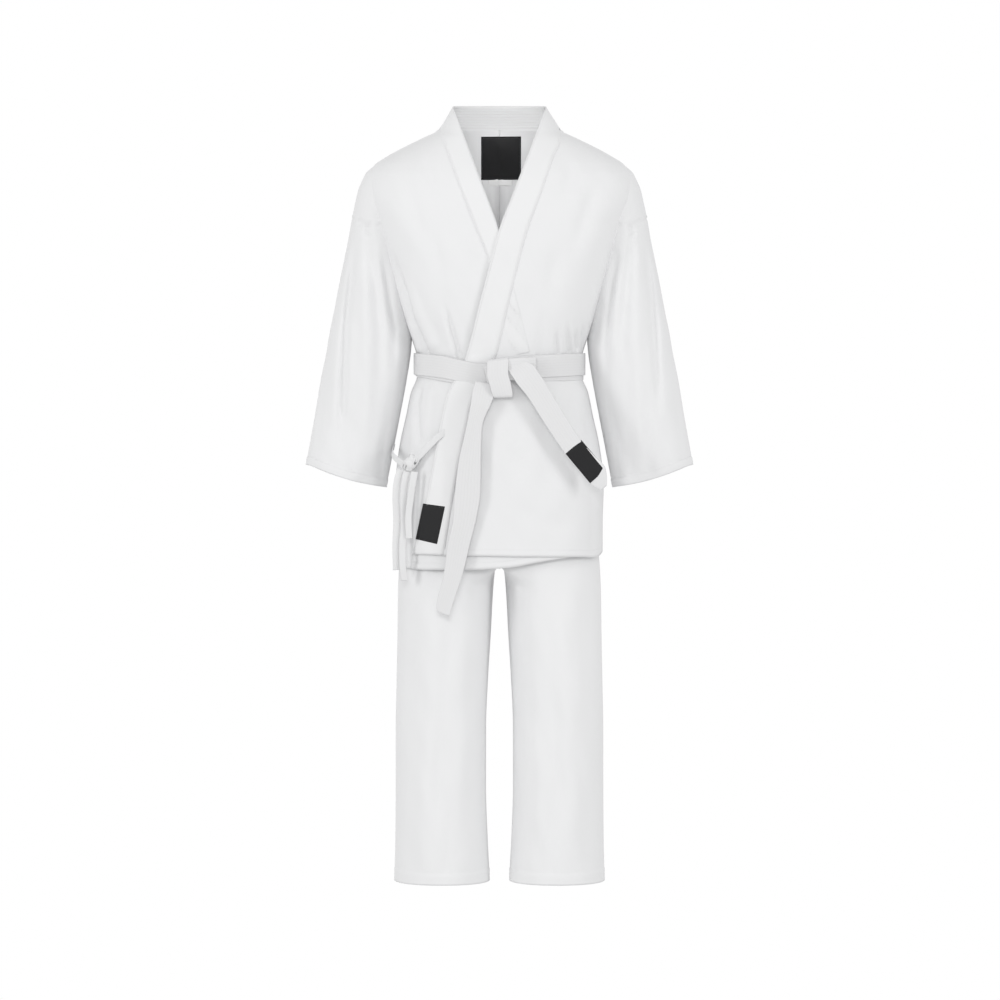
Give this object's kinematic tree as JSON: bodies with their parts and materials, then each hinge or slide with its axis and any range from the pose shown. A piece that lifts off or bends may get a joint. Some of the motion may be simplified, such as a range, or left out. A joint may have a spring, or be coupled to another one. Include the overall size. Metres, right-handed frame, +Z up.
{
  "type": "martial arts uniform",
  "caption": "White cotton martial arts uniform: wrapped jacket with lapels and side ties, knotted belt and elastic-waist trousers, worn shape as on a form.",
  "frame": {"origin": "centre of the neck opening at the base of the standing collar, where a dress form's neck holds the jacket", "axes": "+Z up, -Y towards the front of the garment, +X towards the wearer's left"},
  "size_m": [0.7052, 0.2573, 1.4141],
  "materials": {
    "cotton": "matte",
    "belt_cotton": "matte",
    "tape": "matte",
    "label_black": "satin",
    "label_white": "satin",
    "elastic": "matte",
    "eyelet_metal": "satin"
  },
  "bodies": {
    "jacket": {"back_panel_right": "cotton", "back_panel_left": "cotton", "front_panel_left": "cotton", "front_panel_right": "cotton", "collar_band": "cotton", "lapel_left": "cotton", "lapel_right": "cotton", "neck_label": "label_black", "size_tag": "label_white", "lapel_label": "label_black", "belt_inner_turn": "belt_cotton", "belt_outer_turn": "belt_cotton", "belt_knot_wrap": "belt_cotton", "belt_knot_core": "belt_cotton", "side_tie_front": "tape", "side_tie_side": "tape", "side_tie_knot": "tape", "side_tie_end_a": "tape", "side_tie_end_b": "tape", "side_tie_loop": "tape"},
    "right_sleeve": {"sleeve_right": "cotton", "cuff_hem_right": "cotton"},
    "left_sleeve": {"sleeve_left": "cotton", "cuff_hem_left": "cotton"},
    "belt_tail_right": {"belt_tail_right": "belt_cotton"},
    "belt_tail_left": {"belt_tail_left": "belt_cotton", "belt_label": "label_black"},
    "trousers": {"seat_right": "cotton", "seat_left": "cotton", "crotch_gusset": "cotton", "waistband": "cotton", "waist_elastic": "elastic", "waist_eyelets": "eyelet_metal"},
    "right_leg": {"trouser_leg_right": "cotton", "leg_hem_right": "cotton"},
    "left_leg": {"trouser_leg_left": "cotton", "leg_hem_left": "cotton"}
  },
  "joints": [
    {"name": "right_sleeve_swing", "type": "hinge", "parent": "jacket", "child": "right_sleeve", "pos_m": [-0.2375, 0, -0.1645], "axis": [0, 1, 0], "range_deg": [0, 30]},
    {"name": "left_sleeve_swing", "type": "hinge", "parent": "jacket", "child": "left_sleeve", "pos_m": [0.2375, 0, -0.1645], "axis": [0, -1, 0], "range_deg": [0, 30]},
    {"name": "belt_tail_right_swing", "type": "hinge", "parent": "jacket", "child": "belt_tail_right", "pos_m": [-0.03, -0.131, -0.4885], "axis": [-1, 0, 0], "range_deg": [0, 60]},
    {"name": "belt_tail_left_swing", "type": "hinge", "parent": "jacket", "child": "belt_tail_left", "pos_m": [0.0435, -0.131, -0.4398], "axis": [-0.822, 0, -0.5695], "range_deg": [0, 60]},
    {"name": "trousers_pull_down", "type": "slide", "parent": "jacket", "child": "trousers", "axis": [0, 0, -1], "range_m": [0, 0.42]},
    {"name": "right_leg_swing", "type": "hinge", "parent": "trousers", "child": "right_leg", "pos_m": [-0.099, 0, -0.86], "axis": [-1, 0, 0], "range_deg": [-30, 35]},
    {"name": "left_leg_swing", "type": "hinge", "parent": "trousers", "child": "left_leg", "pos_m": [0.099, 0, -0.86], "axis": [-1, 0, 0], "range_deg": [-30, 35]}
  ]
}
